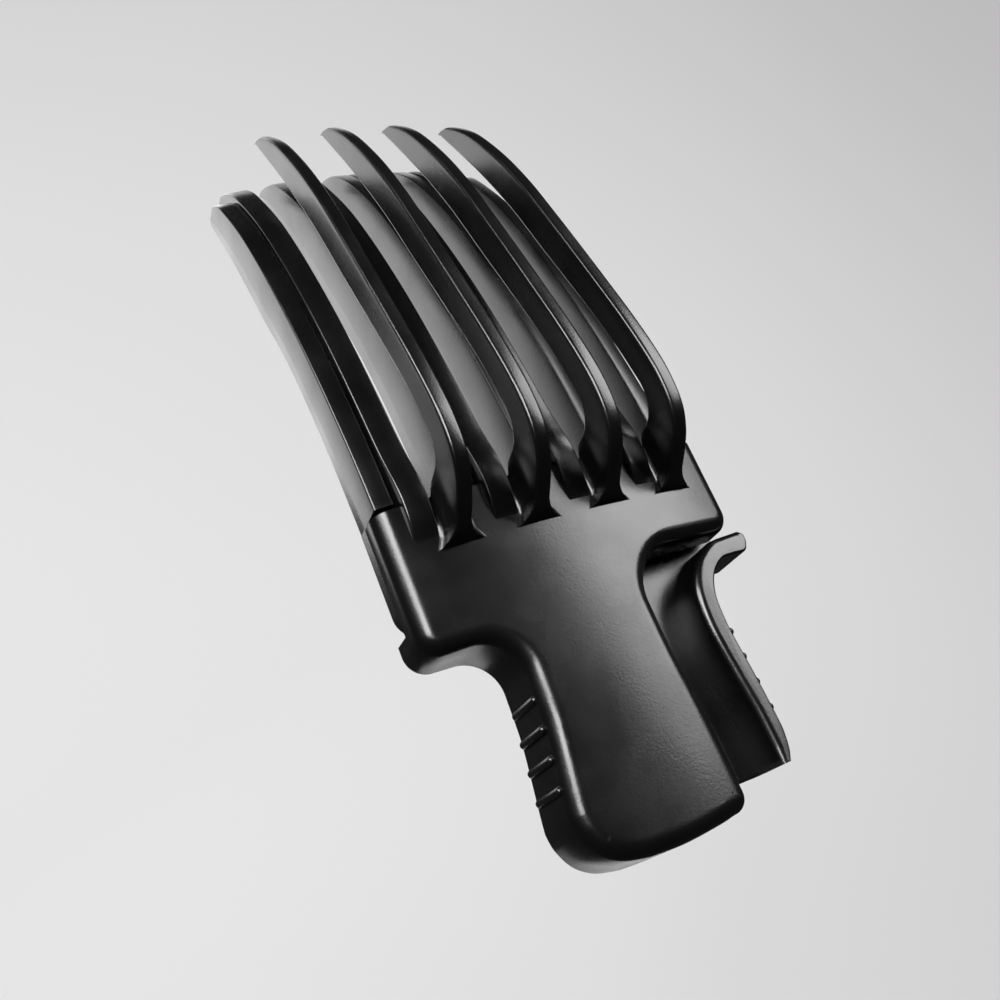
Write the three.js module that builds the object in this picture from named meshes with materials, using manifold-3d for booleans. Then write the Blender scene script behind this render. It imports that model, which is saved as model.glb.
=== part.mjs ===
// Hand-squeezed hair comb in two halves. The base half carries five long curved teeth, a tray and a finger
// grip. The slider half carries four bars between the teeth, four high fins over the gaps, and the palm
// grip. Squeezing the two grips together slides the slider along +X, under two return springs.
//
// Units are millimetres. X runs across the comb, Y from the handle (-) to the tips (+), Z out of the cover.
// Shapes are drawn from a datum on the cover's crown behind the first fin, and the finished model is then
// moved so that its origin is the bottom centre of its bounding box.
import * as THREE from 'three';
import { TessellateModifier } from 'three/addons/modifiers/TessellateModifier.js';
import { mergeVertices } from 'three/addons/utils/BufferGeometryUtils.js';
import Module from 'manifold-3d';

const wasm = await Module();
wasm.setup();

// ---- driving dimensions ------------------------------------------------------------------------------
const PITCH = 14;                  // from one tooth to the next
const HEAD = { left: -7.7, right: 56.8, front: 9.3, back: -8.8, lobe: 3.9, shoulder: 3.6 };
const WAIST = { y: -22.7, radius: 6.8 };    // hollow between the head's lobe and the palm grip
const ARMPIT = { x: 41.5, radius: 9.3 };    // hollow between the palm grip and the shoulder
const PALM_END = { x: 30.5, y: -51.6, radius: 2.7 };
const CENTRE_X = 24.55;            // middle of the head
const CROWN = 0.0035;              // the cover falls by this times (distance from the middle) squared
const GAP = 0.3;                   // between pieces that are fitted to each other's curved faces
const FOOT = { depth: 1, lip: 0.5 };  // a fin's foot: sunk in the cover, and raised in front of its edge

const TOOTH = { first: -6.9, width: 3.4, count: 5, root: 10.3, end: [94.6, 103.6, 103.9, 103.6, 96.5] };
const BAR = { first: -3.0, width: 4.3, count: 4, depth: 8, tip: 4.2, end: [100.6, 101.6, 101.6, 100.6] };
const DROOP = { tooth: 1.3, bar: 1.0, length: 4 };    // how a blade's top edge rounds down at its tip
const FIN = { first: 2.9, width: 2.8, count: 4, foot: 11.5, end: 101.2, flare: 2.9, tip: 99.6 };

const COVER = { wall: 2.2, thick: 2.4, fillet: 2.4, skirt: -14.5 };
const SKIRT_EDGE = { head: -9.5, grip: -11.6 };       // where the cover's shallower walls end
const NECK = { x: 33, y: -23 };    // the cover's neck, right and front of here, is as shallow as the head
const TRAY = {
  left: -6.9, handle: 14.8, back: -9.4, front: 10.3, corner: 4, wall: 2,
  beam: 6, top: -12, bottom: -14.5, rim: -9.8,
};
const HANDLE_END = -50;            // the base half's handle stops here
const GRIP_RIM = -4;               // top of the finger grip
const RIB = { count: 4, pitch: 4.74, radius: 0.75 };

const PIN = { radius: 1.5, head: 2.3, z: -8.6, upperY: -3, lowerY: -38 };
const BORE = 1.56;                 // running bore for a pin
const BUSH = { outer: 2.4, seat: 2.46 };
const ROUND = 16;                  // sides of a drawn circle

// Heights along the comb, as [y, z] points: above the cover's crown, or as drawn where it says so.
const FIN_TOP = [[0, 0], [1.2, 2.4], [3, 5.2], [5, 8], [7, 10.2], [10, 12.1], [14, 13], [20, 13],
  [30, 11.4], [40, 9.2], [50, 6.9], [60, 4.5], [70, 2.0], [80, -1.4], [90, -6.0], [95, -9.3],
  [100, -13.7], [104, -18]];
const TIP_SAG = [0, 0, 0.5, 0.8];    // how much lower each fin ends than the first one
const FIN_UNDER = [[11.5, 0], [12, 2.6], [12.7, 4.5], [15, 6.4], [18, 7.1], [22, 6.6], [27, 5.8], [35, 4],
  [45, 1.4], [55, -1.3], [70, -5.2], [84, -10], [101.2, -17.2]];
const TOOTH_TOP = [[10, -0.5], [20, -1.2], [30, -2.4], [40, -4], [50, -6], [60, -8.5], [70, -11.5],
  [80, -15.3], [90, -20.6], [95, -24], [100, -28.6], [104, -34]];
const TOOTH_UNDER = [[9, -15], [25, -16], [38, -17.5], [51, -20], [63, -24], [80, -29], [94.8, -34.7],
  [104, -38.4]];                   // as drawn, not above the crown
const BAR_TOP = [[2.4, 0], [5, 1], [7, 1.5], [10, 1.7], [13, 1.4], [16, 0.6], [20, -0.3], [30, -1.7],
  [40, -3.3], [50, -5.3], [60, -7.8], [70, -10.8], [80, -14.6], [90, -19.9], [95, -23.3], [101.6, -29.9]];

// ---- helpers -----------------------------------------------------------------------------------------
const crown = (x) => -CROWN * (x - CENTRE_X) ** 2;
const v2 = (x, y) => new THREE.Vector2(x, y);

// Height at y along a list of [y, z] points, as a smooth curve through them.
function heightAt(points, y) {
  const last = points.length - 1;
  let i = 0;
  while (i < last - 1 && y > points[i + 1][0]) i += 1;
  const slope = (a, b) => (points[b][1] - points[a][1]) / (points[b][0] - points[a][0]);
  const step = points[i + 1][0] - points[i][0];
  const before = slope(Math.max(i - 1, 0), i + 1) * step;
  const after = slope(i, Math.min(i + 2, last)) * step;
  const t = (y - points[i][0]) / step;
  const rise = points[i + 1][1] - points[i][1];
  return points[i][1] + before * t + (3 * rise - 2 * before - after) * t * t
    + (before + after - 2 * rise) * t * t * t;
}

function toSolid(geometry) {
  const bare = geometry.index ? geometry.toNonIndexed() : geometry.clone();
  bare.deleteAttribute('normal');
  bare.deleteAttribute('uv');
  const merged = mergeVertices(bare, 1e-4);
  const corners = Array.from(merged.index.array);
  const triangles = [];
  for (let i = 0; i < corners.length; i += 3) {
    const [a, b, c] = corners.slice(i, i + 3);
    if (a !== b && b !== c && c !== a) triangles.push(a, b, c);   // a pole's empty triangles are left out
  }
  return new wasm.Manifold(new wasm.Mesh({
    numProp: 3,
    vertProperties: new Float32Array(merged.attributes.position.array),
    triVerts: new Uint32Array(triangles),
  }));
}

function toGeometry(solid) {
  const mesh = solid.getMesh();
  const geometry = new THREE.BufferGeometry();
  geometry.setAttribute('position', new THREE.BufferAttribute(new Float32Array(mesh.vertProperties), 3));
  geometry.setIndex(new THREE.BufferAttribute(new Uint32Array(mesh.triVerts), 1));
  return geometry;
}

function box(low, high) {
  const size = high.map((value, i) => value - low[i]);
  const geometry = new THREE.BoxGeometry(...size);
  geometry.translate(...low.map((value, i) => value + size[i] / 2));
  return geometry;
}

// A prism standing on an XY outline; edge rounds both ends inwards by that radius.
function prism(points, low, high, edge = 0, segments = 3) {
  const shape = new THREE.Shape(points);
  const geometry = new THREE.ExtrudeGeometry(shape, {
    depth: high - low - 2 * edge,
    bevelEnabled: edge > 0,
    bevelThickness: edge,
    bevelSize: edge,
    bevelOffset: -edge,
    bevelSegments: segments,
  });
  geometry.translate(0, 0, low + edge);
  return geometry;
}

// A closed outline moved inwards by a distance; the points run counter-clockwise.
function inset(points, distance) {
  return points.map((point, i) => {
    const before = points[(i + points.length - 1) % points.length];
    const after = points[(i + 1) % points.length];
    const a = point.clone().sub(before).normalize();
    const b = after.clone().sub(point).normalize();
    const normal = v2(-(a.y + b.y), a.x + b.x).normalize();
    return point.clone().addScaledVector(normal, distance / Math.max(0.4, normal.dot(v2(-a.y, a.x))));
  });
}

// Bends a flat solid down to the crown. Its long faces are divided first, so that they can follow it.
function bendToCrown(solid, flatBelow) {
  const flat = toGeometry(solid).toNonIndexed();
  const divided = new TessellateModifier(7.5, 8).modify(flat);
  const position = divided.attributes.position;
  for (let i = 0; i < position.count; i += 1) {
    const share = THREE.MathUtils.clamp((position.getZ(i) - flatBelow) / -flatBelow, 0, 1);
    position.setZ(i, position.getZ(i) + share * crown(position.getX(i)));
  }
  return toSolid(divided);
}

// A solid through a row of closed XZ sections that all have the same number of points, in order along +Y.
function loft(rows) {
  const flat = rows.map((row) => row.map((point) => v2(point.x, point.z)));
  const turned = THREE.ShapeUtils.isClockWise(flat[0]);
  const sections = turned ? rows.map((row) => row.slice().reverse()) : rows;
  const ends = turned ? flat.map((row) => row.slice().reverse()) : flat;
  const sides = sections[0].length;
  const index = [];
  for (let s = 0; s + 1 < sections.length; s += 1) {
    for (let i = 0; i < sides; i += 1) {
      const a = s * sides + i;
      const b = s * sides + (i + 1) % sides;
      index.push(a, a + sides, b, b, a + sides, b + sides);
    }
  }
  const last = (sections.length - 1) * sides;
  THREE.ShapeUtils.triangulateShape(ends[0], []).forEach(([a, b, c]) => index.push(a, b, c));
  THREE.ShapeUtils.triangulateShape(ends.at(-1), []).forEach(([a, b, c]) => {
    index.push(last + a, last + c, last + b);
  });
  const vertices = sections.flat().flatMap((point) => [point.x, point.y, point.z]);
  const geometry = new THREE.BufferGeometry();
  geometry.setAttribute('position', new THREE.Float32BufferAttribute(vertices, 3));
  geometry.setIndex(index);
  return geometry;
}

// Steps along Y, closer together where a blade curves sharply at its root and at its tip.
function stations(from, to) {
  const rows = [];
  for (let i = 0; i <= 4; i += 1) rows.push(from + (i / 4) * 10);
  for (let y = from + 18; y < to - 14; y += 9) rows.push(y);
  [10, 6, 3, 1.2, 0].forEach((left) => rows.push(to - left));
  return rows;
}

// ---- outlines ----------------------------------------------------------------------------------------
// Cover, seen from above: head, waist with its lobe, palm grip, and the shoulder over the finger grip.
function coverOutline(front) {
  const shape = new THREE.Shape();
  shape.moveTo(HEAD.right, front);
  shape.lineTo(HEAD.left, front);
  shape.lineTo(HEAD.left, -12);
  shape.absarc(HEAD.left + HEAD.lobe, -12, HEAD.lobe, Math.PI, Math.PI * 1.5, false);
  shape.lineTo(-1, -15.9);
  shape.absarc(0, WAIST.y, WAIST.radius, Math.PI / 2, 0, true);
  shape.splineThru([v2(6.6, -27.5), v2(6.2, -32.5), v2(4.6, -43), v2(4.2, -46)]);
  shape.splineThru([v2(4.7, -48.8), v2(6.5, -52), v2(9.6, -54.1), v2(13.9, -55.1)]);
  shape.splineThru([v2(20, -55.3), v2(27, -54.8), v2(30.4, -54.3)]);
  shape.absarc(PALM_END.x, PALM_END.y, PALM_END.radius, Math.PI * 1.5, Math.PI * 2, false);
  shape.splineThru([v2(33.2, -45), v2(32.8, -35.5), v2(32.3, -27), v2(32.2, -19.5)]);
  shape.absarc(ARMPIT.x, HEAD.back - ARMPIT.radius, ARMPIT.radius, Math.PI, Math.PI / 2, true);
  const corner = v2(HEAD.right - HEAD.shoulder, HEAD.back + HEAD.shoulder);
  shape.lineTo(corner.x, HEAD.back);
  shape.absarc(corner.x, corner.y, HEAD.shoulder, Math.PI * 1.5, Math.PI * 2, false);
  return tidy(shape.getPoints(5));
}

// Inner and outer faces of the finger grip, each from the hook at the shoulder to the handle's end.
const GRIP_INNER = [[56.6, -9.7], [52, -9.8], [49.6, -10.6], [46.4, -12.9], [44, -16.4], [42.9, -20.5],
  [42.6, -26], [43.2, -34], [43.9, -42], [44, -48]];
const GRIP_OUTER = [[57.6, -10], [58.1, -10.8], [57.9, -12.2], [56.8, -13.6], [54, -13.6], [51.3, -13.9],
  [48.6, -16], [46.9, -19.5], [46.4, -23.5], [46.4, -27.5], [46.9, -35], [47.2, -43.3], [46.8, -47.9],
  [45.8, -49.6], [45.2, -50]];

const smooth = (points, steps) => new THREE.SplineCurve(points.map(([x, y]) => v2(x, y))).getPoints(steps);

function gripOutline() {
  return tidy([...smooth(GRIP_INNER, 18), ...smooth(GRIP_OUTER, 24).reverse()]);
}

// Tray floor, seen from above: the head's floor, then the handle's floor under the slider's palm grip.
function trayOutline() {
  const shape = new THREE.Shape();
  shape.moveTo(HEAD.right, TRAY.front);
  shape.lineTo(TRAY.left, TRAY.front);
  shape.absarc(TRAY.left + TRAY.corner, TRAY.back + TRAY.corner, TRAY.corner, Math.PI, Math.PI * 1.5, false);
  shape.lineTo(TRAY.handle, TRAY.back);
  shape.lineTo(TRAY.handle, HANDLE_END + 3);
  shape.absarc(TRAY.handle + 3, HANDLE_END + 3, 3, Math.PI, Math.PI * 1.5, false);
  smooth(GRIP_OUTER, 24).reverse().forEach((point) => shape.lineTo(point.x, point.y));
  shape.lineTo(HEAD.right, TRAY.back);
  return tidy(shape.getPoints(5));
}

// Drops points that are repeated or that lie within a hair of a straight run, and makes the outline run
// counter-clockwise.
function tidy(points) {
  const kept = [points[0]];
  for (let i = 1; i < points.length; i += 1) {
    const from = kept.at(-1);
    const next = points[(i + 1) % points.length];
    const along = next.clone().sub(from);
    const bulge = Math.abs(along.cross(points[i].clone().sub(from))) / Math.max(along.length(), 1e-6);
    if (bulge > 0.035 && points[i].distanceTo(from) > 0.1) kept.push(points[i]);
  }
  if (kept[0].distanceTo(kept.at(-1)) < 0.1) kept.pop();
  return THREE.ShapeUtils.isClockWise(kept) ? kept.reverse() : kept;
}

// ---- blades ------------------------------------------------------------------------------------------
// How far the top edge of a blade has come down at y, near its tip.
const droopAt = (y, end, depth) => depth * Math.max(0, 1 - (end - y) / DROOP.length) ** 2;

// Section of a tooth or bar: chamfered top edges, and a lower third that narrows to a thin edge.
function bladeSection(y, left, width, topAt, bottom) {
  const edge = 0.35;
  const right = left + width;
  const middle = (left + right) / 2;
  const top = topAt(middle);
  const waist = bottom + (top - bottom) / 3;
  const foot = width * 0.4;
  const corners = [[left, topAt(left) - edge], [left + edge, topAt(left + edge)],
    [right - edge, topAt(right - edge)], [right, topAt(right) - edge], [right, waist],
    [middle + foot, bottom], [middle - foot, bottom], [left, waist]];
  return corners.map(([x, z]) => new THREE.Vector3(x, y, z));
}

function tooth(i) {
  const left = TOOTH.first + PITCH * i;
  const end = TOOTH.end[i];
  const sections = stations(TOOTH.root, end).map((y) => {
    const droop = droopAt(y, end, DROOP.tooth);
    const topAt = (x) => heightAt(TOOTH_TOP, y) - droop + crown(x);
    const bottom = heightAt(TOOTH_UNDER, y);
    return bladeSection(y, left, TOOTH.width, topAt, bottom);
  });
  return loft(sections);
}

function bar(i) {
  const left = BAR.first + PITCH * i;
  const end = BAR.end[i];
  const sections = stations(HEAD.front, end).map((y) => {
    const along = (y - HEAD.front) / (end - HEAD.front);
    const droop = droopAt(y, end, DROOP.bar);
    const topAt = (x) => heightAt(BAR_TOP, y) - droop + crown(x);
    const bottom = topAt(left + BAR.width / 2) - BAR.depth + (BAR.depth - BAR.tip) * along ** 3;
    return bladeSection(y, left, BAR.width, topAt, bottom);
  });
  return loft(sections);
}

// A fin is a thin arch over a hair gap. Its foot spreads on the cover in two hollow fillets.
function fin(i, coverSolid) {
  const middle = FIN.first + FIN.width / 2 + PITCH * i;
  const half = FIN.width / 2;
  const drop = crown(middle);
  const rows = [0, 0.6, 1.2, 2.2, 3.4, 5, 7, HEAD.front, HEAD.front + 0.05, FIN.foot];
  const arch = [11.75, 12, 12.4, 13, 14.2, 16, 19, 23, 30, 38, 46, 54, 62, 70, 78, 85, 91, 96, FIN.tip,
    100.3, 100.8, 101.1];
  const sections = [...rows, ...arch, FIN.end].map((y) => {
    let top = heightAt(FIN_TOP, y);
    const sole = y <= HEAD.front ? -FOOT.depth : FOOT.lip;         // the lip clears the teeth on a squeeze
    const bottom = y <= FIN.foot ? sole : heightAt(FIN_UNDER, y);
    if (y > FIN.tip) {                                             // the tip's top edge rounds down
      const round = Math.sqrt(Math.max(0, 1 - ((y - FIN.tip) / (FIN.end - FIN.tip)) ** 2));
      top = bottom + Math.max(0.3, (top - bottom) * round);
    }
    const onFoot = y <= FIN.foot;
    const spread = onFoot ? Math.max(0.5, FIN.flare - 0.75 * y) : 0;
    const reach = onFoot ? Math.min(3.6, Math.max(top - 0.4, 0.05)) : 0;
    const edge = Math.min(0.5, (top - bottom) / 4);
    const brim = onFoot ? Math.max(bottom, 0) + 0.02 : bottom + 0.02;
    const side = (s) => [[s * (half + spread), bottom], [s * (half + spread), brim],
      [s * (half + spread * 0.42), onFoot ? reach * 0.22 : bottom + 0.04],
      [s * (half + spread * 0.12), onFoot ? reach * 0.55 : bottom + 0.06],
      [s * half, onFoot ? reach : bottom + 0.08], [s * half, Math.max(top - edge, bottom + 0.1)],
      [s * (half - edge), Math.max(top, bottom + 0.12)]];
    const ring = [...side(-1), ...side(1).reverse()];
    const sag = TIP_SAG[i] * Math.max(0, (y - FIN.foot) / (FIN.end - FIN.foot)) ** 2;
    const level = (x, z) => (onFoot && z < reach ? crown(middle + x) : drop - sag);
    return ring.map(([x, z]) => new THREE.Vector3(middle + x, y, z + level(x, z)));
  });
  return toSolid(loft(sections)).subtract(coverSolid.translate([0, 0, GAP]));
}

// ---- slider half -------------------------------------------------------------------------------------
function coverSolid() {
  const outer = toSolid(prism(coverOutline(HEAD.front + 6), COVER.skirt - 4, 0, COVER.fillet));
  const hollow = inset(coverOutline(HEAD.front + 12), COVER.wall);
  let flat = outer.subtract(toSolid(prism(hollow, COVER.skirt - 9, -COVER.thick)));
  for (let i = 0; i < BAR.count; i += 1) flat = flat.add(toSolid(barRoot(BAR.first + PITCH * i)));
  let solid = bendToCrown(flat, COVER.skirt);
  const cuts = [
    box([-20, HEAD.front, -30], [80, 30, 10]),                                  // square front edge
    box([-20, -80, -30], [80, 30, COVER.skirt]),                                // deepest skirt
    box([-20, -9.8, -30], [80, 30, SKIRT_EDGE.head]),                           // head
    box([TRAY.handle - 1, -80, -30], [80, -9.7, SKIRT_EDGE.grip]),              // handle's right side
    box([NECK.x - 1.2, NECK.y, -30], [80, -9.7, SKIRT_EDGE.head]),              // neck
  ];
  cuts.forEach((cut) => {
    solid = solid.subtract(toSolid(cut));
  });
  for (let i = 0; i < RIB.count; i += 1) {
    solid = solid.add(toSolid(rib(6.75 - 0.62 * i, -27.1 - RIB.pitch * i, -13.7, -3.4)));
  }
  return solid;
}

// Where a bar grows out of the cover: a low square-sided ramp on the cover's top.
function barRoot(left) {
  const rows = [2.4, 5, 7, HEAD.front];
  const sections = rows.map((y) => {
    const top = heightAt(BAR_TOP, y) + 0.02;
    const ring = [[left, -1], [left, top], [left + BAR.width, top], [left + BAR.width, -1]];
    return ring.map(([x, z]) => new THREE.Vector3(x, y, z));
  });
  return loft(sections);
}

// A rib on a grip: an upright half-round with round ends, set into the wall.
function rib(x, y, low, high) {
  const geometry = new THREE.CapsuleGeometry(RIB.radius, high - low - 2 * RIB.radius, 2, 8);
  geometry.rotateX(Math.PI / 2);
  geometry.translate(x, y, (low + high) / 2);
  return geometry;
}

// ---- base half ---------------------------------------------------------------------------------------
function traySolid() {
  const floor = toSolid(prism(trayOutline(), TRAY.bottom, TRAY.top));
  const rim = toSolid(prism(headRimOutline(TRAY.left), TRAY.top - 0.5, TRAY.rim));
  const beam = toSolid(box([TRAY.left, TRAY.beam, TRAY.top - 0.5], [HEAD.right, TRAY.front, TRAY.rim]));
  return floor.add(rim).add(beam);
}

// The low rim that closes the left of the head under the cover's wall, with its rounded back corner.
function headRimOutline(left) {
  const shape = new THREE.Shape();
  const centre = v2(left + TRAY.corner, TRAY.back + TRAY.corner);
  shape.moveTo(left, TRAY.beam + 1);
  shape.lineTo(left, centre.y);
  shape.absarc(centre.x, centre.y, TRAY.corner, Math.PI, Math.PI * 1.5, false);
  shape.lineTo(TRAY.handle, TRAY.back);
  shape.lineTo(TRAY.handle, TRAY.back + TRAY.wall);
  shape.lineTo(centre.x, TRAY.back + TRAY.wall);
  shape.absarc(centre.x, centre.y, TRAY.corner - TRAY.wall, Math.PI * 1.5, Math.PI, true);
  shape.lineTo(left + TRAY.wall, TRAY.beam + 1);
  return tidy(shape.getPoints(5));
}

function gripSolid() {
  let solid = toSolid(prism(gripOutline(), TRAY.top - 2, GRIP_RIM, 0.2, 1));
  solid = solid.subtract(toSolid(box([0, -80, -30], [80, 30, TRAY.top])));
  for (let i = 0; i < RIB.count; i += 1) {
    solid = solid.add(toSolid(rib(46.7 + 0.2 * i, -26.4 - RIB.pitch * i, -11.4, -4.6)));
  }
  return solid;
}

// ---- guide pins, bosses, lugs, bushes, clips and springs ---------------------------------------------
const circle = (radius, sides = ROUND) => Array.from({ length: sides }, (_, i) => {
  const angle = (2 * Math.PI * i) / sides;
  return v2(radius * Math.cos(angle), radius * Math.sin(angle));
});

// A block with a bore along X. Its face is drawn in Y and Z around the bore.
function boredBlock(fromX, toX, y, half, low, high, bore) {
  const [down, up] = [low - PIN.z, high - PIN.z];
  const face = [v2(-half, down), v2(half, down), v2(half, up), v2(-half, up)];
  return alongX(face, bore, fromX, toX, y);
}

function ring(fromX, toX, y, outer, inner) {
  return alongX(circle(outer), inner, fromX, toX, y);
}

function alongX(face, bore, fromX, toX, y) {
  const shape = new THREE.Shape(face);
  if (bore > 0) shape.holes.push(new THREE.Path(circle(bore).reverse()));
  const geometry = new THREE.ExtrudeGeometry(shape, { depth: toX - fromX, bevelEnabled: false });
  geometry.rotateZ(Math.PI / 2);
  geometry.rotateY(Math.PI / 2);
  geometry.translate(fromX, y, PIN.z);
  return geometry;
}

function guidePin(fromX, headX, toX, y) {
  const head = toSolid(alongX(circle(PIN.head), 0, fromX, headX, y));
  const shaft = toSolid(alongX(circle(PIN.radius), 0, headX - 0.5, toX, y));
  return head.add(shaft);
}

class Coil extends THREE.Curve {
  constructor(fromX, toX, y, radius, turns) {
    super();
    Object.assign(this, { fromX, toX, y, radius, turns });
  }

  getPoint(t, target = new THREE.Vector3()) {
    const angle = 2 * Math.PI * this.turns * t;
    const x = this.fromX + (this.toX - this.fromX) * t;
    return target.set(x, this.y + this.radius * Math.cos(angle), PIN.z + this.radius * Math.sin(angle));
  }
}

function spring(fromX, toX, y, wire, turns) {
  const section = circle(wire, 6);
  const clear = wire + 0.15;
  const path = new Coil(fromX + clear, toX - clear, y, 2.25, turns);
  return new THREE.ExtrudeGeometry(new THREE.Shape(section), { steps: turns * 10, extrudePath: path });
}

// ---- materials and assembly --------------------------------------------------------------------------
const satin = new THREE.MeshStandardMaterial({ color: 0x17181a, roughness: 0.42, metalness: 0.0 });
const steel = new THREE.MeshStandardMaterial({ color: 0xb9bcc0, roughness: 0.3, metalness: 1.0 });
const acetal = new THREE.MeshStandardMaterial({ color: 0xd9d8d2, roughness: 0.5, metalness: 0.0 });

const group = new THREE.Group();

function place(name, shape, material) {
  const raw = shape.isBufferGeometry ? toSolid(shape) : shape;
  const geometry = toGeometry(raw).toNonIndexed();
  geometry.computeVertexNormals();
  const mesh = new THREE.Mesh(geometry, material);
  mesh.name = name;
  group.add(mesh);
}

const cover = coverSolid();
place('slider_cover', cover, satin);
for (let i = 0; i < FIN.count; i += 1) place(`slider_fin_${i + 1}`, fin(i, cover), satin);
for (let i = 0; i < BAR.count; i += 1) place(`slider_bar_${i + 1}`, bar(i), satin);

place('base_tray', traySolid(), satin);
place('base_grip', gripSolid(), satin);
for (let i = 0; i < TOOTH.count; i += 1) place(`base_tooth_${i + 1}`, tooth(i), satin);

// Each guide: two bosses on the tray, a headed pin through them, a clip on its end, a lug under the cover
// with its bush, and a spring that pushes the lug back against the left boss.
const GUIDES = [
  { name: 'upper', y: PIN.upperY, head: 0.8, left: [2, 6.2], lugs: [[6.5, 10.5], [34, 38]],
    right: [48, 51.4], wire: 0.3, turns: 6 },
  { name: 'lower', y: PIN.lowerY, head: 14.2, left: [15.2, 17.6], lugs: [[17.9, 20.7]],
    right: [27.6, 29.4], wire: 0.17, turns: 4 },
];
GUIDES.forEach((guide) => {
  const { name, y, left, right, lugs } = guide;
  const clip = 0.6;
  place(`boss_${name}_left`, boredBlock(...left, y, 3, TRAY.top, -5.6, BORE), satin);
  place(`boss_${name}_right`, boredBlock(...right, y, 3, TRAY.top, -5.6, BORE), satin);
  place(`guide_pin_${name}`, guidePin(guide.head, left[0], right[1] + clip + 0.25, y), steel);
  place(`pin_clip_${name}`, ring(right[1], right[1] + clip, y, 2.5, BORE), steel);
  lugs.forEach((lug, i) => {
    const end = lugs.length > 1 ? `${name}_${i + 1}` : name;
    const ceiling = Math.min(crown(lug[0]), crown(lug[1])) - COVER.thick - GAP;
    place(`lug_${end}`, boredBlock(...lug, y, 3.6, TRAY.top + 0.8, ceiling, BUSH.seat), satin);
    place(`bush_${end}`, ring(...lug, y, BUSH.outer, BORE), acetal);
  });
  place(`spring_${name}`, spring(lugs.at(-1)[1], right[0], y, guide.wire, guide.turns), steel);
});

// Origin at the bottom centre of the whole object.
const bounds = new THREE.Box3().setFromObject(group);
const centre = bounds.getCenter(new THREE.Vector3());
group.children.forEach((mesh) => mesh.geometry.translate(-centre.x, -centre.y, -bounds.min.z));

export default group;
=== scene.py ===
"""Looks of the squeeze comb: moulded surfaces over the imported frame, a studio floor, lights and camera."""
import math

import bmesh
import bpy
from mathutils import Matrix, Vector


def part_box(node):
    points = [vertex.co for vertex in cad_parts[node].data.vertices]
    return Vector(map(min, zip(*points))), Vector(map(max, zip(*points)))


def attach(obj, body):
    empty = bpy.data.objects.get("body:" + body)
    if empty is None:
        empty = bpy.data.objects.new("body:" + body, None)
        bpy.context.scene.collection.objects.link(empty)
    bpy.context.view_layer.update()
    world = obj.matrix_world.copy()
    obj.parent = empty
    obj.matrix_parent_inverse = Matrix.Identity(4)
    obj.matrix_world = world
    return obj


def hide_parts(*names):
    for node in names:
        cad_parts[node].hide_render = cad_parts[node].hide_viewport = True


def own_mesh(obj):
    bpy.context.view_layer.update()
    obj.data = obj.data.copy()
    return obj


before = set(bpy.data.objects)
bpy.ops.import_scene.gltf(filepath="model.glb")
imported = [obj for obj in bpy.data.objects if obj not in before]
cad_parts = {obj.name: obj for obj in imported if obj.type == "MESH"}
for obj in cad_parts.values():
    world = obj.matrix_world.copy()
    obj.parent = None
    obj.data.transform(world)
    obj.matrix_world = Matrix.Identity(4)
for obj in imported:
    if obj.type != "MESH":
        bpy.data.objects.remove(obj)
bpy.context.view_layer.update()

# ---- driving dimensions, in millimetres from a point on the cover beside the first fin's root ---------
PITCH = 14.0           # from one tooth to the next
CENTRE_X = 24.55       # middle of the head
CROWN = 0.0035         # the cover falls by this times (distance from the middle) squared
HEAD_LEFT = -7.7
HEAD_RIGHT = 56.8
HEAD_FRONT = 9.3
LOBE = (-3.8, -12.0)   # centres of the cover's round corners and hollows, with their radii
LOBE_RADIUS = 3.9
WAIST = (0.0, -22.7)
WAIST_RADIUS = 6.8
PALM_END = (30.5, -51.6)
PALM_END_RADIUS = 2.7
ARMPIT = (41.5, -18.1)
ARMPIT_RADIUS = 9.3
SHOULDER = (53.2, -5.2)
SHOULDER_RADIUS = 3.6
BAR_FIRST = -3.0
BAR_WIDTH = 4.3
BAR_DEPTH = 8.0
BAR_TIP_DEPTH = 4.2
BAR_ROOT = 2.4
BAR_END = [100.6, 101.6, 101.6, 100.6]
TOOTH_FIRST = -6.9
TOOTH_WIDTH = 3.4
TOOTH_ROOT = 10.3
TOOTH_END = [94.6, 103.6, 103.9, 103.6, 96.5]
FIN_FIRST = 2.9
FIN_WIDTH = 2.8
FIN_FOOT = 11.5
FIN_END = 101.2
FIN_TIP = 99.6         # the tip's top edge rounds down from here
FIN_EDGE = 0.65
FOOT_SUNK = -1.0       # a fin's foot reaches into the cover, and clears the teeth in front of its edge
FOOT_LIP = 0.5
DROOP_LENGTH = 4.0     # how a blade's top edge rounds down at its tip
TOOTH_DROOP = 1.3
BAR_DROOP = 1.0
COVER_WALL = 2.2
COVER_THICK = 2.4
COVER_FILLET = 2.6
SKIRT_HEAD = -9.5
SKIRT_GRIP = -11.6
SKIRT_BACK = -9.8      # the skirt is deep behind here
NECK_LEFT = 31.8       # right and in front of here, the skirt is as shallow as the head's
NECK_BACK = -23.0
TRAY_TOP = -12.0
TRAY_BOTTOM = -14.5
TRAY_RIM = -9.8
TRAY_LEFT = -6.9
TRAY_BACK = -9.4
TRAY_FRONT = 10.3
TRAY_HANDLE = 14.8
TRAY_CORNER = 4.0
TRAY_WALL = 2.0
TRAY_BEAM = 6.0
TRAY_FILLET = 0.45     # with the band, less than the outline's spacing, so that no corner folds over
TRAY_BAND = 0.1
PROUD = 0.02           # the tray's wall and beam stand out by this, so that no two faces coincide
HANDLE_END = -50.0
GRIP_RIM = -4.0
GRIP_FILLET = 1.5
RIB_COUNT = 4
RIB_PITCH = 4.74
RIB_RADIUS = 0.75
FLAT_BAND = 0.5        # a flat ring inside the cover's fillet, which keeps its shading off the plate

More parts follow.
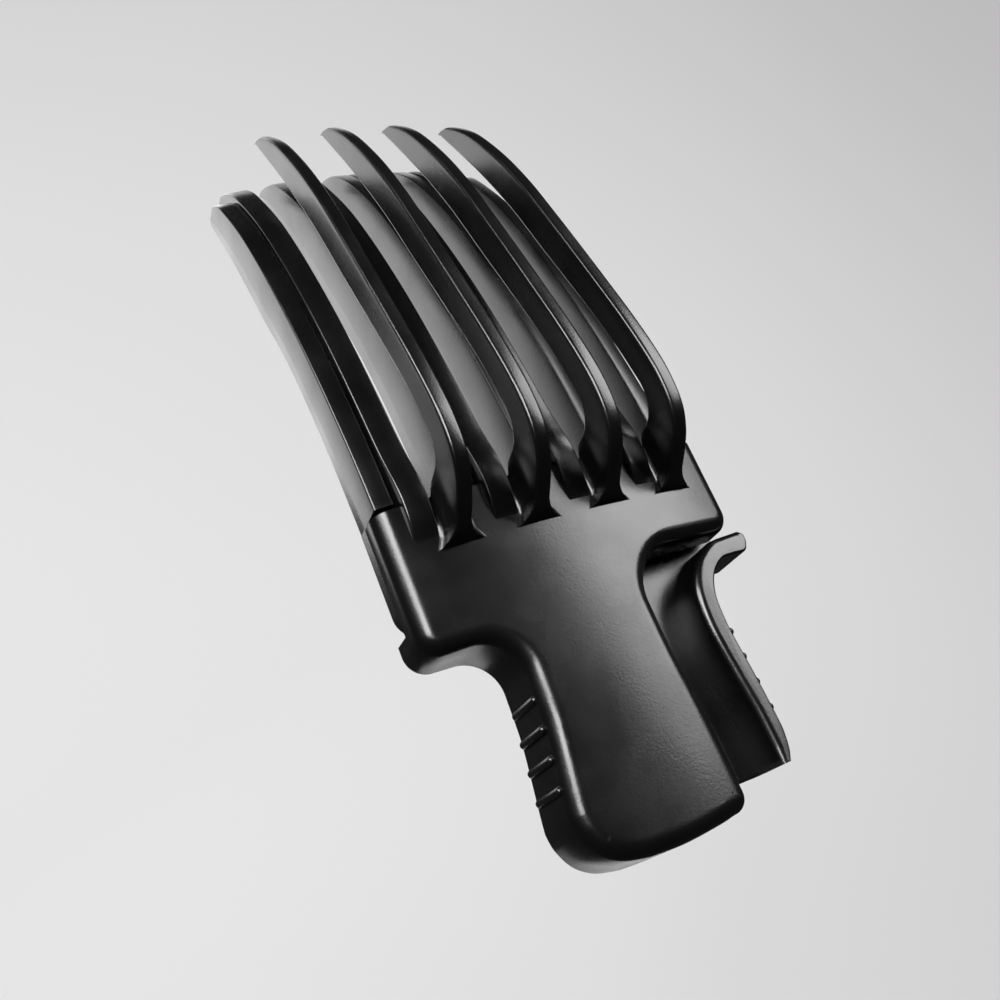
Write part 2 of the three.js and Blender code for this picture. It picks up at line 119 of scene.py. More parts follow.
# Heights along the comb, as (y, z) points: above the cover's crown, but a tooth's underside as drawn.
FIN_TOP = [(0, 0), (1.2, 2.4), (3, 5.2), (5, 8), (7, 10.2), (10, 12.1), (14, 13), (20, 13), (30, 11.4),
           (40, 9.2), (50, 6.9), (60, 4.5), (70, 2.0), (80, -1.4), (90, -6.0), (95, -9.3), (100, -13.7),
           (104, -18)]
TIP_SAG = [0, 0, 0.5, 0.8]        # how much lower each fin ends than the first one
FIN_UNDER = [(11.5, 0), (12, 2.6), (12.7, 4.5), (15, 6.4), (18, 7.1), (22, 6.6), (27, 5.8), (35, 4),
             (45, 1.4), (55, -1.3), (70, -5.2), (84, -10), (101.2, -17.2)]
TOOTH_TOP = [(10, -0.5), (20, -1.2), (30, -2.4), (40, -4), (50, -6), (60, -8.5), (70, -11.5), (80, -15.3),
             (90, -20.6), (95, -24), (100, -28.6), (104, -34)]
TOOTH_UNDER = [(9, -15), (25, -16), (38, -17.5), (51, -20), (63, -24), (80, -29), (94.8, -34.7),
               (104, -38.4)]
BAR_TOP = [(2.4, 0), (5, 1), (7, 1.5), (10, 1.7), (13, 1.4), (16, 0.6), (20, -0.3), (30, -1.7),
           (40, -3.3), (50, -5.3), (60, -7.8), (70, -10.8), (80, -14.6), (90, -19.9), (95, -23.3),
           (101.6, -29.9)]

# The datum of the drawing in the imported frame: a bar's left face, the cover's front edge, the underside.
DATUM = Vector((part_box("slider_bar_1")[0][0] * 1000 - BAR_FIRST,
                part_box("slider_bar_1")[0][1] * 1000 - HEAD_FRONT,
                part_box("base_tray")[0][2] * 1000 - TRAY_BOTTOM))


# ---- curves ------------------------------------------------------------------------------------------
def crown(x):
    """Height of the cover's top at x."""
    return -CROWN * (x - CENTRE_X) ** 2


def height_at(points, y):
    """Height at y on a smooth curve through [y, z] points."""
    last = len(points) - 1
    i = 0
    while i < last - 1 and y > points[i + 1][0]:
        i += 1

    def slope(a, b):
        return (points[b][1] - points[a][1]) / (points[b][0] - points[a][0])

    step = points[i + 1][0] - points[i][0]
    before = slope(max(i - 1, 0), i + 1) * step
    after = slope(i, min(i + 2, last)) * step
    t = (y - points[i][0]) / step
    rise = points[i + 1][1] - points[i][1]
    return (points[i][1] + before * t + (3 * rise - 2 * before - after) * t * t
            + (before + after - 2 * rise) * t ** 3)


def droop(y, end, depth):
    """How far a blade's top edge has come down at y, near its tip."""
    return depth * max(0, 1 - (end - y) / DROOP_LENGTH) ** 2


def arc(centre, radius, start, end, steps=14):
    x, y = centre
    angles = [math.radians(start + (end - start) * i / steps) for i in range(steps + 1)]
    return [Vector((x + radius * math.cos(a), y + radius * math.sin(a))) for a in angles]


def mirrored(column):
    """A closed ring from the points up one side of it, as distances from the middle and heights."""
    return [(-x, z) for x, z in column] + [(x, z) for x, z in reversed(column)]


def turns(count):
    """Evenly spaced angles of a full turn."""
    return [2 * math.pi * k / count for k in range(count)]


def spline(points, steps=12):
    """A smooth curve through the points, as a Catmull-Rom spline with even knots."""
    p = [Vector(q) for q in points]
    out = []
    for i in range(len(p) - 1):
        a, b, c, d = p[max(i - 1, 0)], p[i], p[i + 1], p[min(i + 2, len(p) - 1)]
        for k in range(steps):
            t = k / steps
            out.append(0.5 * (2 * b + (c - a) * t + (2 * a - 5 * b + 4 * c - d) * t * t
                              + (3 * b - a - 3 * c + d) * t ** 3))
    return out + [p[-1]]


def even(points, spacing):
    """The closed outline again, with points at an even spacing, running counter-clockwise."""
    area = sum(a.x * b.y - b.x * a.y for a, b in zip(points, points[1:] + points[:1]))
    run = points if area > 0 else points[::-1]
    out = []
    for a, b in zip(run, run[1:] + run[:1]):
        length = (b - a).length
        if length < 1e-4:
            continue
        count = max(1, round(length / spacing))
        out += [a.lerp(b, k / count) for k in range(count)]
    kept = [out[0]]
    for point in out[1:]:
        if (point - kept[-1]).length > spacing * 0.45:
            kept.append(point)
    return kept


def inset(points, distance):
    """The outline moved inwards by a distance, along the mean normal at each point."""
    count = len(points)
    out = []
    for i, point in enumerate(points):
        a = (point - points[i - 1]).normalized()
        b = (points[(i + 1) % count] - point).normalized()
        normal = Vector((-(a.y + b.y), a.x + b.x)).normalized()
        out.append(point + normal * (distance / max(0.5, normal.dot(Vector((-a.y, a.x))))))
    return out


# ---- mesh building -----------------------------------------------------------------------------------
def add_loft(bm, rings, cap_first=True, cap_last=True):
    """Skins a row of closed rings that all have the same number of points."""
    rows = [[bm.verts.new(point) for point in ring] for ring in rings]
    count = len(rows[0])
    for low, high in zip(rows, rows[1:]):
        for i in range(count):
            j = (i + 1) % count
            bm.faces.new((low[i], low[j], high[j], high[i]))
    if cap_first:
        bm.faces.new(rows[0][::-1])
    if cap_last:
        bm.faces.new(rows[-1])
    return rows


def make_piece(name, bm, body, nodes, material, sharp=40):
    """Turns a bmesh drawn in millimetres into a piece of the model that stands for CAD nodes."""
    bmesh.ops.remove_doubles(bm, verts=bm.verts, dist=1e-4)
    bmesh.ops.dissolve_degenerate(bm, edges=bm.edges, dist=1e-5)
    bmesh.ops.recalc_face_normals(bm, faces=bm.faces)
    for vertex in bm.verts:
        vertex.co = (vertex.co + DATUM) / 1000
    mesh = bpy.data.meshes.new(name)
    bm.to_mesh(mesh)
    bm.free()
    mesh.shade_smooth()
    mesh.set_sharp_from_angle(angle=math.radians(sharp))
    piece = bpy.data.objects.new(name, mesh)
    bpy.context.scene.collection.objects.link(piece)
    mesh.materials.append(material)
    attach(piece, body)
    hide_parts(*nodes)
    return piece


def quarter(radius, steps):
    """Insets and drops of a quarter-round edge, from the flat top to the upright side."""
    angles = [math.pi / 2 * i / steps for i in range(steps + 1)]
    return [(radius * (1 - math.sin(a)), -radius * (1 - math.cos(a))) for a in angles]


def flat_ring(points, z):
    return [Vector((p.x, p.y, z)) for p in points]


def add_prism(bm, outline, low, high):
    add_loft(bm, [flat_ring(outline, low), flat_ring(outline, high)])


# ---- materials ---------------------------------------------------------------------------------------
def node(tree, kind, **values):
    made = tree.nodes.new(kind)
    for key, value in values.items():
        if key in made.inputs:
            made.inputs[key].default_value = value
        else:
            setattr(made, key, value)
    return made


def mixed(tree, factor, low, high):
    """A colour between two colours by a factor. The lower one may be another node's output."""
    made = node(tree, "ShaderNodeMix", data_type="RGBA")
    tree.links.new(factor, made.inputs["Factor"])
    if isinstance(low, bpy.types.NodeSocket):
        tree.links.new(low, made.inputs["A"])
    else:
        made.inputs["A"].default_value = (*low, 1)
    made.inputs["B"].default_value = (*high, 1)
    return made.outputs["Result"]


def remapped(tree, source, low, high, to_low, to_high):
    made = node(tree, "ShaderNodeMapRange")
    made.inputs["From Min"].default_value = low
    made.inputs["From Max"].default_value = high
    made.inputs["To Min"].default_value = to_low
    made.inputs["To Max"].default_value = to_high
    tree.links.new(source, made.inputs["Value"])
    return made.outputs["Result"]


def noise(tree, **values):
    """Noise laid out in the object's own space."""
    place = node(tree, "ShaderNodeTexCoord")
    made = node(tree, "ShaderNodeTexNoise", **values)
    tree.links.new(place.outputs["Object"], made.inputs["Vector"])
    return made.outputs["Fac"]


def finished(tree, shader, colour, roughness, height, strength, distance):
    """Joins a colour, a roughness and a bump to the shader."""
    tree.links.new(colour, shader.inputs["Base Color"])
    tree.links.new(roughness, shader.inputs["Roughness"])
    bump = node(tree, "ShaderNodeBump", Strength=strength, Distance=distance)
    tree.links.new(height, bump.inputs["Height"])
    tree.links.new(bump.outputs["Normal"], shader.inputs["Normal"])


def new_material(name):
    material = bpy.data.materials.new(name)
    material.use_nodes = True
    return material, material.node_tree, material.node_tree.nodes["Principled BSDF"]


def plastic(name, colour, roughness, grain, wear=0.03):
    """Moulded plastic: faint mottling, a fine spark-eroded grain, polish marks and slightly worn edges."""
    material, tree, shader = new_material(name)
    shader.inputs["Specular IOR Level"].default_value = 0.55
    cloud = noise(tree, Scale=90.0, Detail=3.0)
    fine = noise(tree, Scale=2600.0, Detail=2.0, Roughness=0.6)
    edges = node(tree, "ShaderNodeNewGeometry").outputs["Pointiness"]
    worn = remapped(tree, edges, 0.53, 0.60, 0.0, wear)
    mottle = mixed(tree, cloud, [c * 0.8 for c in colour], [c * 1.25 for c in colour])
    rubbed = mixed(tree, worn, mottle, (0.25, 0.25, 0.26))
    gloss = remapped(tree, cloud, 0.3, 0.7, roughness - 0.04, roughness + 0.05)
    finished(tree, shader, rubbed, gloss, fine, grain, 0.00004)
    return material


def ground_steel(name):
    """Drawn or turned steel: a bright metal with fine marks in its tone, gloss and surface."""
    material, tree, shader = new_material(name)
    shader.inputs["Metallic"].default_value = 1.0
    marks = noise(tree, Scale=3000.0, Detail=3.0)
    tone = mixed(tree, marks, (0.50, 0.51, 0.52), (0.66, 0.66, 0.67))
    gloss = remapped(tree, marks, 0.0, 1.0, 0.22, 0.40)
    finished(tree, shader, tone, gloss, marks, 0.2, 0.00002)
    return material


BLACK = plastic("black_satin", (0.0020, 0.0020, 0.0023), 0.24, 0.40)
BEARING = plastic("bearing_plastic", (0.70, 0.69, 0.64), 0.45, 0.2, wear=0.0)
STEEL = ground_steel("ground_steel")


# ---- cover -------------------------------------------------------------------------------------------
def cover_outline(front):
    """Seen from above: head, waist with its lobe, palm grip, and the shoulder over the finger grip."""
    left = [(6.6, -27.5), (6.2, -32.5), (4.6, -43), (4.2, -46)]
    heel = [(4.2, -46), (4.7, -48.8), (6.5, -52), (9.6, -54.1), (13.9, -55.1)]
    end = [(13.9, -55.1), (20, -55.3), (27, -54.8), (30.4, -54.3)]
    right = [(33.2, -51.6), (33.2, -45), (32.8, -35.5), (32.3, -27), (32.2, -19.5)]
    points = [Vector((HEAD_RIGHT, front)), Vector((HEAD_LEFT, front)), Vector((HEAD_LEFT, LOBE[1]))]
    points += arc(LOBE, LOBE_RADIUS, 180, 270)
    points += arc(WAIST, WAIST_RADIUS, 90, 0)
    points += spline(left) + spline(heel) + spline(end)
    points += arc(PALM_END, PALM_END_RADIUS, 270, 360)
    points += spline(right)
    points += arc(ARMPIT, ARMPIT_RADIUS, 180, 90)
    points += arc(SHOULDER, SHOULDER_RADIUS, 270, 360)
    return even(points, 0.6)


def skirt_depth(point):
    """How far down the cover's wall reaches: it clears the base half, and hangs lower past the base."""
    if point.y > 5:
        return SKIRT_HEAD
    if point.x < TRAY_HANDLE - 1:
        return SKIRT_HEAD if point.y > SKIRT_BACK else TRAY_BOTTOM
    if point.x > NECK_LEFT and point.y > NECK_BACK:
        return SKIRT_HEAD
    return TRAY_BOTTOM if point.y < HANDLE_END - 0.4 else SKIRT_GRIP


def stepped(points):
    """The outline with each point's skirt depth; where the depth steps, the point is there twice."""
    out = []
    for i, point in enumerate(points):
        depth = skirt_depth(point)
        before = skirt_depth(points[i - 1])
        if before != depth:
            out.append((point, before))
        out.append((point, depth))
    return out


def cover_rings():
    """Rings of the hollow cover, from its top over the fillet and down the skirt, and up its inside."""
    base = cover_outline(HEAD_FRONT + 4)
    steps = stepped(base)
    outline = [point for point, _ in steps]
    depths = [depth for _, depth in steps]

    def moved(distance):
        shifted = {(p.x, p.y): q for p, q in zip(base, inset(base, distance))}
        return [shifted[(p.x, p.y)] for p in outline]

    rings = [flat_ring(moved(COVER_FILLET + FLAT_BAND), 0)]
    rings += [flat_ring(moved(into), drop) for into, drop in quarter(COVER_FILLET, 10)]
    lip = 0.35
    for into, rise in ((0, lip), (0.1, 0.1), (lip, 0), (COVER_WALL - lip, 0), (COVER_WALL - 0.1, 0.1),
                       (COVER_WALL, lip)):
        rings.append([Vector((p.x, p.y, depth + rise)) for p, depth in zip(moved(into), depths)])
    for into, below in ((0, 0.6), (0.2, 0.17), (0.5, 0)):
        rings.append(flat_ring(moved(COVER_WALL + into), -COVER_THICK - below))
    return rings


def slice_cover(bm):
    """Divides the flat top, so that it can be bent to the crown, and cuts the front edge square."""
    slices = [((x, 0, 0), (1, 0, 0)) for x in range(-6, 57, 2)]
    slices += [((0, y, 0), (0, 1, 0)) for y in range(-52, 9, 3)]
    for point, normal in slices:
        everything = bm.verts[:] + bm.edges[:] + bm.faces[:]
        bmesh.ops.bisect_plane(bm, geom=everything, plane_co=point, plane_no=normal, dist=1e-5)
    everything = bm.verts[:] + bm.edges[:] + bm.faces[:]
    cut = bmesh.ops.bisect_plane(bm, geom=everything, plane_co=(0, HEAD_FRONT, 0), plane_no=(0, 1, 0),
                                 clear_outer=True, dist=1e-5)
    rim = [item for item in cut["geom_cut"] if isinstance(item, bmesh.types.BMEdge)]
    bmesh.ops.holes_fill(bm, edges=rim)


def cover_piece():
    bm = bmesh.new()
    add_loft(bm, cover_rings())
    bmesh.ops.remove_doubles(bm, verts=bm.verts, dist=1e-4)
    slice_cover(bm)
    for vertex in bm.verts:
        if vertex.co.z > -7:
            vertex.co.z += crown(vertex.co.x)
    for i in range(RIB_COUNT):
        add_rib(bm, 6.75 - 0.62 * i, -27.1 - RIB_PITCH * i, -13.7, -3.4)
    return make_piece("cover_shell", bm, "slider", ["slider_cover"], BLACK)


def add_rib(bm, x, y, low, high):
    """An upright round-ended rib set into a grip's wall."""
    rise = [math.pi / 2 * k / 5 for k in range(6)]
    rings = []
    for end, sign, angles in ((low + RIB_RADIUS, -1, rise[::-1]), (high - RIB_RADIUS, 1, rise)):
        for angle in angles:
            r = max(RIB_RADIUS * math.cos(angle), 0.02)
            z = end + sign * RIB_RADIUS * math.sin(angle)
            rings.append([Vector((x + r * math.cos(a), y + r * math.sin(a), z)) for a in turns(16)])
    add_loft(bm, rings)


# ---- fins --------------------------------------------------------------------------------------------
def foot_side(y, z):
    """How far a fin's foot spreads past the fin's side at height z: a hollow fillet, wider at the back."""
    spread = max(1.7, 3.0 - 0.6 * y)
    climb = foot_climb(y)
    if y > HEAD_FRONT:
        spread *= (FIN_FOOT - y) / (FIN_FOOT - HEAD_FRONT)
    if z >= climb:
        return 0.0
    return spread * (1 - math.sqrt(max(0, 1 - (1 - max(z, 0) / climb) ** 2)))


def foot_climb(y):
    """Height of the hollow fillet on a fin's foot."""
    return max(3.4, 8.0 - 1.6 * y)


def fin_section(y, middle, tip_sag):
    """Ring round a fin at one place along it. On the foot the sides spread in hollow fillets."""
    on_foot = y <= FIN_FOOT
    top = height_at(FIN_TOP, y)
    bottom = FOOT_SUNK if on_foot else height_at(FIN_UNDER, y)
    if y > FIN_TIP:
        round_off = math.sqrt(max(0, 1 - ((y - FIN_TIP) / (FIN_END - FIN_TIP)) ** 2))
        top = bottom + max(0.15, (top - bottom) * round_off)
    if on_foot and y > HEAD_FRONT:
        bottom = FOOT_LIP
    base = max(bottom, 0.0) if on_foot else bottom
    edge = min(FIN_EDGE + 0.5 * max(0, (y - 60) / 40), (top - base) * 0.3)
    low_edge = 0.0 if on_foot else min(0.6, (top - bottom) * 0.3)

    def side(z):
        return FIN_WIDTH / 2 + (foot_side(y, z) if on_foot else 0.0)

    column = []
    for k in range(5):
        angle = math.pi / 2 * k / 4
        inwards = low_edge * (1 - math.sin(angle))
        column.append((side(bottom) - inwards, bottom + low_edge * (1 - math.cos(angle))))
    floor = base + low_edge
    shoulder = max(top - edge, floor)
    reach = min(shoulder, foot_climb(y)) if on_foot else shoulder
    for k in range(13):
        z = floor + (reach - floor) * (k / 12) ** 1.6
        column.append((side(z), z))
    column.append((side(shoulder), shoulder))
    for k in range(1, 7):
        angle = math.pi / 2 * k / 6
        inwards = edge * (1 - math.cos(angle))
        column.append((side(shoulder) - inwards, shoulder + (top - shoulder) * math.sin(angle)))
    drop = crown(middle) - tip_sag * max(0, (y - FIN_FOOT) / (FIN_END - FIN_FOOT)) ** 2

    def level(x, z):
        return crown(middle + x) if on_foot and z < 0.6 else drop

    return [Vector((middle + x, y, z + level(x, z))) for x, z in mirrored(column)]


def fin_piece(i):
    middle = FIN_FIRST + FIN_WIDTH / 2 + PITCH * i
    foot = [FIN_FOOT * (k / 46) ** 1.5 for k in range(47)]
    bend = [FIN_FOOT + 0.06 + 8.5 * (k / 26) ** 1.8 for k in range(27)]
    arch = [20 + (FIN_TIP - 20) * k / 44 for k in range(1, 45)]
    tip = [FIN_TIP + (FIN_END - FIN_TIP) * math.sin(math.pi / 2 * k / 16) for k in range(1, 17)]
    bm = bmesh.new()
    add_loft(bm, [fin_section(y, middle, TIP_SAG[i]) for y in foot + bend + arch + tip])
    return make_piece(f"fin_{i + 1}", bm, "slider", [f"slider_fin_{i + 1}"], BLACK, sharp=38)


# ---- bars and teeth ----------------------------------------------------------------------------------
def blade_section(y, left, width, top_at, bottom):
    """Ring round a bar or tooth: rounded top edges, and a lower third that narrows a little."""
    middle = left + width / 2
    top = top_at(middle)
    waist = bottom + (top - bottom) / 3
    foot = width * 0.40
    half = width / 2
    edge = 0.32
    column = [(foot - 0.25, bottom), (foot, bottom + 0.25)]
    column += [(half - 0.03, waist - 0.35), (half, waist + 0.05)]
    for k in range(5):
        angle = math.pi / 2 * k / 4
        column.append((half - edge * (1 - math.cos(angle)), top - edge * (1 - math.sin(angle))))

    def tilt(x, z):
        return top_at(middle + x) - top if z > waist + 0.1 else 0

    return [Vector((middle + x, y, z + tilt(x, z))) for x, z in mirrored(column)]


def along_blade(start, end):
    """Places along a blade, closer together at its root and its tip."""
    rows = [start + 10 * k / 14 for k in range(15)]
    rows += [start + 10 + (end - start - 22) * k / 34 for k in range(1, 35)]
    return rows + [end - 12 + 12 * math.sin(math.pi / 2 * k / 18) for k in range(1, 19)]


def tooth_piece(i):
    left = TOOTH_FIRST + PITCH * i
    end = TOOTH_END[i]
    rings = []
    for y in along_blade(TOOTH_ROOT, end):
        height = height_at(TOOTH_TOP, y) - droop(y, end, TOOTH_DROOP)
        rings.append(blade_section(y, left, TOOTH_WIDTH, lambda x: height + crown(x),
                                   height_at(TOOTH_UNDER, y)))
    bm = bmesh.new()
    add_loft(bm, rings)
    return make_piece(f"tooth_{i + 1}", bm, "base", [f"base_tooth_{i + 1}"], BLACK, sharp=30)


def bar_piece(i):
    left = BAR_FIRST + PITCH * i
    end = BAR_END[i]
    middle = left + BAR_WIDTH / 2
    rings = []
    root = [BAR_ROOT + (HEAD_FRONT - BAR_ROOT) * k / 10 for k in range(11)]
    for y in root + along_blade(HEAD_FRONT + 0.02, end):
        height = height_at(BAR_TOP, y) - droop(y, end, BAR_DROOP)
        if y <= HEAD_FRONT:
            bottom = crown(middle) - 1.4
        else:
            along = (y - HEAD_FRONT) / (end - HEAD_FRONT)
            bottom = height + crown(middle) - BAR_DEPTH + (BAR_DEPTH - BAR_TIP_DEPTH) * along ** 3
        rings.append(blade_section(y, left, BAR_WIDTH, lambda x: height + crown(x), bottom))
    bm = bmesh.new()
    add_loft(bm, rings)
    return make_piece(f"bar_{i + 1}", bm, "slider", [f"slider_bar_{i + 1}"], BLACK, sharp=30)


# ---- base tray and finger grip -----------------------------------------------------------------------
GRIP_INNER = [(57.5, -9.5), (52, -9.8), (49.6, -10.6), (46.4, -12.9), (44, -16.4), (42.9, -20.5),
              (42.6, -26), (43.2, -34), (43.9, -42), (44, -48)]
GRIP_OUTER = [(57.8, -9.7), (58.1, -10.8), (57.9, -12.2), (56.8, -13.6), (54, -13.6), (51.3, -13.9),
              (48.6, -16), (46.9, -19.5), (46.4, -23.5), (46.4, -27.5), (46.9, -35), (47.2, -43.3),
              (46.8, -47.9), (45.8, -49.6), (45.2, -50)]


def grip_piece():
    """The finger grip: rounded over along its rim, mostly on the inside, and cut square at its end."""
    past_end = HANDLE_END - 3
    inner = spline(GRIP_INNER[:-1] + [(44, past_end)])
    outer = spline(GRIP_OUTER[:-3] + [(47.0, -46.0), (46.5, -48.2), (45.6, -50.2), (44.9, past_end)])
    outline = even(inner + outer[::-1], 0.45)
    inwards = [after - point for point, after in zip(outline, inset(outline, 1.0))]
    share = [1.0 if min((point - near).length for near in inner) < 0.8 else 0.3 for point in outline]
    for _ in range(3):
        after = share[1:] + share[:1]
        share = [(share[i - 1] + share[i] + after[i]) / 3 for i in range(len(share))]
    narrowing = [min(1.0, 0.7 + max(0, point.y - HANDLE_END) / 10) for point in outline]
    share = [part * narrow for part, narrow in zip(share, narrowing)]

    def ring(into, drop):
        moved = [(p + step * into * part, part) for p, step, part in zip(outline, inwards, share)]
        return [Vector((p.x, max(p.y, HANDLE_END), GRIP_RIM + drop * part)) for p, part in moved]

    rings = [ring(into, drop) for into, drop in quarter(GRIP_FILLET, 9)]
    rings.append([Vector((p.x, p.y, TRAY_TOP - 0.5)) for p in rings[-1]])
    bm = bmesh.new()
    add_loft(bm, rings)
    for i in range(RIB_COUNT):
        add_rib(bm, 46.7 + 0.2 * i, -26.4 - RIB_PITCH * i, -11.4, -4.6)
    return make_piece("finger_grip", bm, "base", ["base_grip"], BLACK)


def tray_outline():
    """Seen from above: the head's floor, then the handle's floor and the foot of the finger grip."""
    points = [Vector((HEAD_RIGHT, TRAY_FRONT)), Vector((TRAY_LEFT, TRAY_FRONT))]
    points += arc((TRAY_LEFT + TRAY_CORNER, TRAY_BACK + TRAY_CORNER), TRAY_CORNER, 180, 270)
    points += arc((TRAY_HANDLE - 1, TRAY_BACK - 1), 1, 90, 0, 4)
    points += arc((TRAY_HANDLE + 3, HANDLE_END + 3), 3, 180, 270)
    points += spline(GRIP_OUTER)[::-1]
    points += [Vector((HEAD_RIGHT, TRAY_BACK))]
    return even(points, 0.6)


def tray_wall(left, back, front):
    """The low wall that closes the left of the head, with its rounded back corner."""
    centre = (left + TRAY_CORNER, back + TRAY_CORNER)
    wall = [Vector((left, front)), Vector((left, centre[1]))] + arc(centre, TRAY_CORNER, 180, 270)
    wall += [Vector((TRAY_HANDLE, back)), Vector((TRAY_HANDLE, back + TRAY_WALL))]
    wall += [Vector((centre[0], back + TRAY_WALL))] + arc(centre, TRAY_CORNER - TRAY_WALL, 270, 180)
    return wall + [Vector((left + TRAY_WALL, front))]


def tray_piece():
    outline = tray_outline()
    bm = bmesh.new()
    rings = [flat_ring(inset(outline, 0.3), TRAY_TOP), flat_ring(outline, TRAY_TOP - 0.3)]
    under = [(into, TRAY_BOTTOM - drop) for into, drop in reversed(quarter(TRAY_FILLET, 6))]
    rings += [flat_ring(inset(outline, into), z) for into, z in under]
    rings.append(flat_ring(inset(outline, TRAY_FILLET + TRAY_BAND), TRAY_BOTTOM))
    add_loft(bm, rings)
    left, back, front = TRAY_LEFT - PROUD, TRAY_BACK - PROUD, TRAY_FRONT + PROUD
    low = TRAY_BOTTOM + TRAY_FILLET
    add_prism(bm, tray_wall(left, back, front), low, TRAY_RIM + 0.2)
    ahead = front - PROUD / 2
    beam = [Vector((x, y)) for x, y in ((left + 1, TRAY_BEAM), (HEAD_RIGHT + PROUD, TRAY_BEAM),
                                        (HEAD_RIGHT + PROUD, ahead), (left + 1, ahead))]
    add_prism(bm, beam, low, TRAY_RIM)
    return make_piece("tray", bm, "base", ["base_tray"], BLACK)


# ---- return springs ----------------------------------------------------------------------------------
PIN_Z = -8.6
SPRING_RADIUS = 2.25
END_GAP = 0.15


def spring_piece(name, lug_face, boss_face, y, wire, coils):
    """A coil on the guide pin, made at one length; the real one shortens towards its boss as the slider
    comes across.
    """
    start = lug_face + END_GAP + wire
    length = boss_face - END_GAP - wire - start
    steps = coils * 28
    rings = []
    for k in range(steps + 1):
        angle = 2 * math.pi * coils * k / steps
        outwards = Vector((0, math.cos(angle), math.sin(angle)))
        ahead = Vector((length / (2 * math.pi * coils), -SPRING_RADIUS * math.sin(angle),
                        SPRING_RADIUS * math.cos(angle))).normalized()
        across = ahead.cross(outwards)
        centre = Vector((start + length * k / steps, y, PIN_Z)) + outwards * SPRING_RADIUS
        rings.append([centre + outwards * wire * math.cos(a) + across * wire * math.sin(a)
                      for a in turns(10)])
    bm = bmesh.new()
    add_loft(bm, rings)
    piece = make_piece(f"coil_{name}", bm, "base", [f"spring_{name}"], STEEL, sharp=60)
    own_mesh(piece)
    return piece


# ---- build -------------------------------------------------------------------------------------------
cover_piece()
for number in range(len(BAR_END)):
    fin_piece(number)
    bar_piece(number)
for number in range(len(TOOTH_END)):
    tooth_piece(number)
grip_piece()
tray_piece()
spring_piece("upper", 38, 48, -3, 0.3, 6)
spring_piece("lower", 20.7, 27.6, -38, 0.17, 4)

# The small inner parts keep their CAD shapes and get their finish here.
FINISHES = {"guide_pin": STEEL, "pin_clip": STEEL, "bush": BEARING, "boss": BLACK, "lug": BLACK}
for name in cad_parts:
    carried = bpy.data.objects.get(name)
    for start, finish in FINISHES.items():
        if carried is not None and name.startswith(start):
            for slot in carried.material_slots:
                slot.material = finish


# ---- studio ------------------------------------------------------------------------------------------
FLOOR_Z = -0.6
FLOOR_RADIUS = 1.6
COVE_RADIUS = 1.4
DOME_RADIUS = 3.0
DOME_RISE = 2.2


def floor_profile():
    """Radius and height from the floor's edge up its cove and over its dome."""
    angles = [math.pi / 24 * k for k in range(12)]
    cove = [(FLOOR_RADIUS + COVE_RADIUS * math.sin(a), FLOOR_Z + COVE_RADIUS * (1 - math.cos(a)))
            for a in angles]
    dome = [(DOME_RADIUS * math.cos(a), FLOOR_Z + COVE_RADIUS + DOME_RISE * math.sin(a)) for a in angles]
    return cove + dome


def pale_paint():
    """A matt, slightly glowing paint with a faint unevenness."""
    paint, tree, shader = new_material("pale_paint")
    shader.inputs["Roughness"].default_value = 0.9
    shader.inputs["Specular IOR Level"].default_value = 0.1
    uneven = node(tree, "ShaderNodeTexNoise", Scale=6.0, Detail=2.0)
    tone = mixed(tree, uneven.outputs["Fac"], (0.30, 0.30, 0.30), (0.32, 0.32, 0.32))
    tree.links.new(tone, shader.inputs["Base Color"])
    tree.links.new(tone, shader.inputs["Emission Color"])
    shader.inputs["Emission Strength"].default_value = 1.45
    return paint


def studio_floor():
    """A wide pale floor well below the comb, sweeping up into walls and a roof of the same paint."""
    bm = bmesh.new()
    add_loft(bm, [[Vector((radius * math.cos(a), radius * math.sin(a), height)) for a in turns(48)]
                  for radius, height in floor_profile()])
    bmesh.ops.recalc_face_normals(bm, faces=bm.faces)
    bmesh.ops.reverse_faces(bm, faces=bm.faces)
    mesh = bpy.data.meshes.new("studio_floor")
    bm.to_mesh(mesh)
    bm.free()
    mesh.shade_smooth()
    mesh.set_sharp_from_angle(angle=math.radians(40))
    mesh.materials.append(pale_paint())
    floor = bpy.data.objects.new("studio_floor", mesh)
    bpy.context.scene.collection.objects.link(floor)
    floor.visible_glossy = False
    floor.visible_diffuse = False
    floor.visible_shadow = False


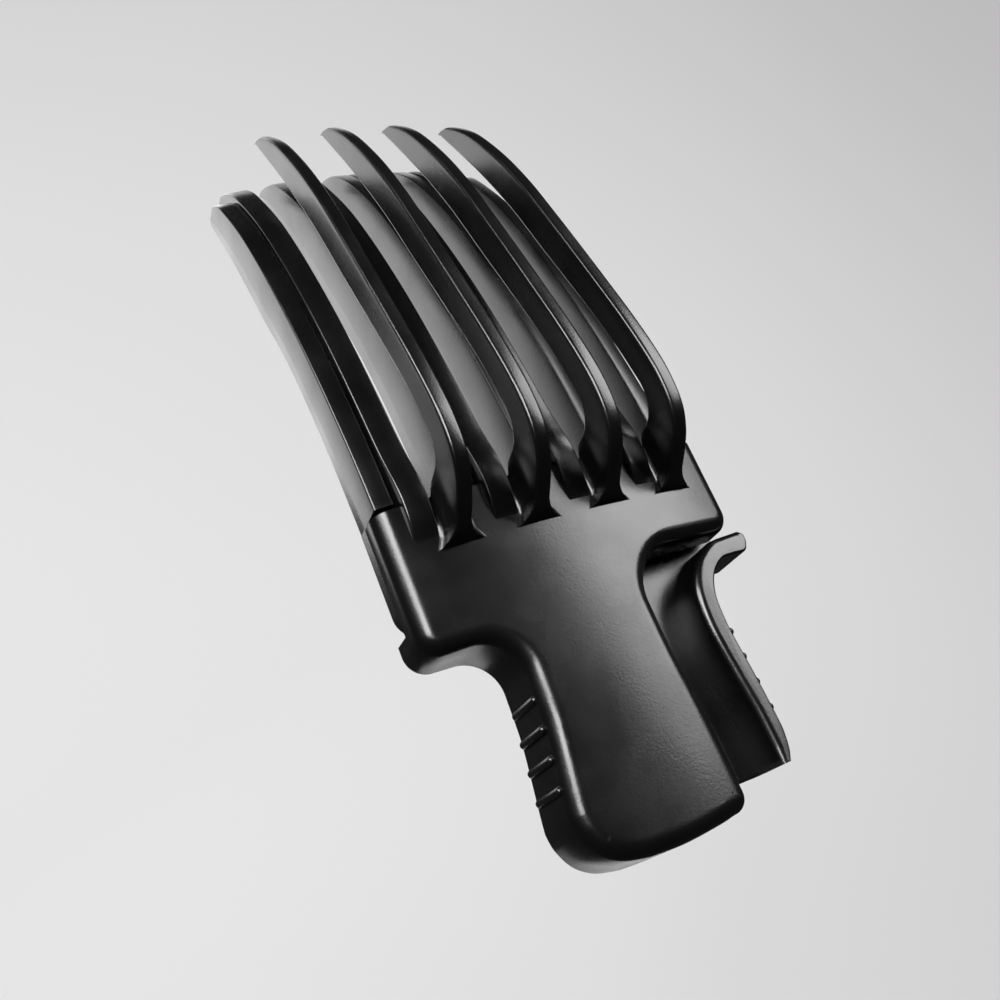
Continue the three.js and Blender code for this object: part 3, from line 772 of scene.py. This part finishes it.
def softbox(name, direction, distance, size, radiance):
    """A square light aimed at the comb, set by the brightness of its face."""
    lamp = bpy.data.lights.new(name, "AREA")
    lamp.shape = "RECTANGLE"
    lamp.size, lamp.size_y = size
    lamp.energy = radiance * math.pi * size[0] * size[1]
    holder = bpy.data.objects.new(name, lamp)
    aim = Vector(direction).normalized()
    centre = Vector((0, 0, 0.03))
    holder.location = centre + aim * distance
    holder.rotation_euler = aim.to_track_quat("Z", "Y").to_euler()
    holder.visible_camera = False
    bpy.context.scene.collection.objects.link(holder)


def studio_light():
    softbox("right_box", (0.62, 0.34, 0.71), 0.9, (0.60, 0.50), 8.5)
    softbox("left_strip", (-0.60, 0.28, 0.75), 0.9, (0.42, 0.42), 17.0)
    softbox("fin_strip", (-0.74, 0.56, 0.40), 0.9, (0.40, 0.30), 16.0)
    softbox("under_box", (-0.12, 0.35, -0.33), 0.49, (0.42, 0.44), 1.9)
    softbox("tip_box", (0.30, 0.80, -0.52), 0.6, (0.35, 0.25), 0.9)
    softbox("heel_box", (0.25, -0.32, -0.91), 0.5, (0.25, 0.25), 0.8)
    world = bpy.data.worlds.new("studio")
    world.use_nodes = True
    background = world.node_tree.nodes["Background"]
    background.inputs["Color"].default_value = (1, 1, 1, 1)
    background.inputs["Strength"].default_value = 0.035
    bpy.context.scene.world = world


def studio_camera():
    """The photo's viewpoint, from a perspective fit."""
    camera = bpy.data.cameras.new("camera")
    camera.sensor_width = 36.0
    camera.lens = 39.5
    camera.clip_start = 0.01
    holder = bpy.data.objects.new("camera", camera)
    right = Vector((0.8755, -0.3724, 0.3078))
    up = Vector((0.2102, 0.8672, 0.4514))
    back = Vector((-0.4350, -0.3305, 0.8375))
    place = Matrix((right, up, back)).transposed().to_4x4()
    place.translation = (-0.0912, -0.0789, 0.1903)
    holder.matrix_world = place
    bpy.context.scene.collection.objects.link(holder)
    bpy.context.scene.camera = holder


studio_floor()
studio_light()
studio_camera()
bpy.context.scene.view_settings.view_transform = "Standard"
